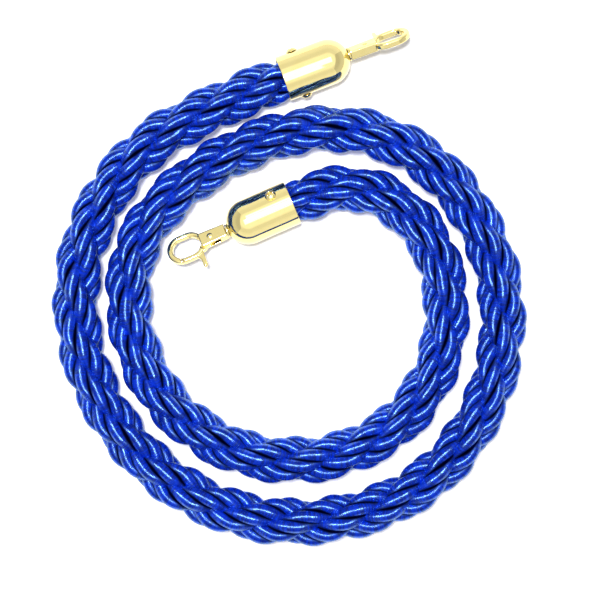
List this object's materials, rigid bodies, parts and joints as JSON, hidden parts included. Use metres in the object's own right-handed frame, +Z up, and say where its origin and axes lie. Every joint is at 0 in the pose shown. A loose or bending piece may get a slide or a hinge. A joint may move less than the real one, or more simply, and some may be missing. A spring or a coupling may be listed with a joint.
{
  "type": "barrier rope",
  "caption": "Twisted satin barrier rope lying in a loose spiral, with a domed metal end cap and a swivel snap hook at each end.",
  "frame": {"origin": "on the floor, midway between the two sets of end fittings, as seen from above", "axes": "+Z up; +X and +Y lie on the floor, with the outer hook towards +X +Y and the spiral towards -Y"},
  "size_m": [0.3127, 0.3419, 0.032],
  "materials": {
    "rope_cord": "satin thread-wrapped cords, royal blue",
    "polished_gold": "mirror polished pale gold plating",
    "plain_steel": "plain zinc-plated steel",
    "binding_tape": "off-white woven tape"
  },
  "bodies": {
    "rope_and_caps": {"rope": "rope_cord", "outer_end_cap": "polished_gold", "outer_cap_screw_1": "polished_gold", "outer_cap_screw_2": "polished_gold", "outer_rope_end_tape": "binding_tape", "outer_swivel_stud": "polished_gold", "outer_stud_nut": "plain_steel", "outer_stud_washer": "plain_steel", "outer_swivel_collar": "polished_gold", "inner_end_cap": "polished_gold", "inner_cap_screw_1": "polished_gold", "inner_cap_screw_2": "polished_gold", "inner_rope_end_tape": "binding_tape", "inner_swivel_stud": "polished_gold", "inner_stud_nut": "plain_steel", "inner_stud_washer": "plain_steel", "inner_swivel_collar": "polished_gold"},
    "outer_hook": {"outer_hook_body": "polished_gold", "outer_gate_rivet": "polished_gold", "outer_gate_spring": "plain_steel"},
    "outer_gate": {"outer_hook_gate": "polished_gold"},
    "inner_hook": {"inner_hook_body": "polished_gold", "inner_gate_rivet": "polished_gold", "inner_gate_spring": "plain_steel"},
    "inner_gate": {"inner_hook_gate": "polished_gold"}
  },
  "joints": [
    {"name": "outer_hook_swivel", "type": "hinge", "parent": "rope_and_caps", "child": "outer_hook", "pos_m": [0.04116, 0.06124, 0.016], "axis": [0.9367, 0.3502, 0], "continuous": true},
    {"name": "outer_gate_hinge", "type": "hinge", "parent": "outer_hook", "child": "outer_gate", "pos_m": [0.0509, 0.06488, 0.016], "axis": [-0.3002, 0.8029, 0.5151], "range_deg": [-24, 0], "stiffness_Nm_per_rad": 0.03, "springref_deg": 20.05},
    {"name": "inner_hook_swivel", "type": "hinge", "parent": "rope_and_caps", "child": "inner_hook", "pos_m": [-0.04162, -0.05574, 0.016], "axis": [-0.9171, -0.3987, 0], "continuous": true},
    {"name": "inner_gate_hinge", "type": "hinge", "parent": "inner_hook", "child": "inner_gate", "pos_m": [-0.05116, -0.05989, 0.016], "axis": [-0.1685, 0.3876, 0.9063], "range_deg": [-24, 0], "stiffness_Nm_per_rad": 0.03, "springref_deg": 20.05}
  ]
}
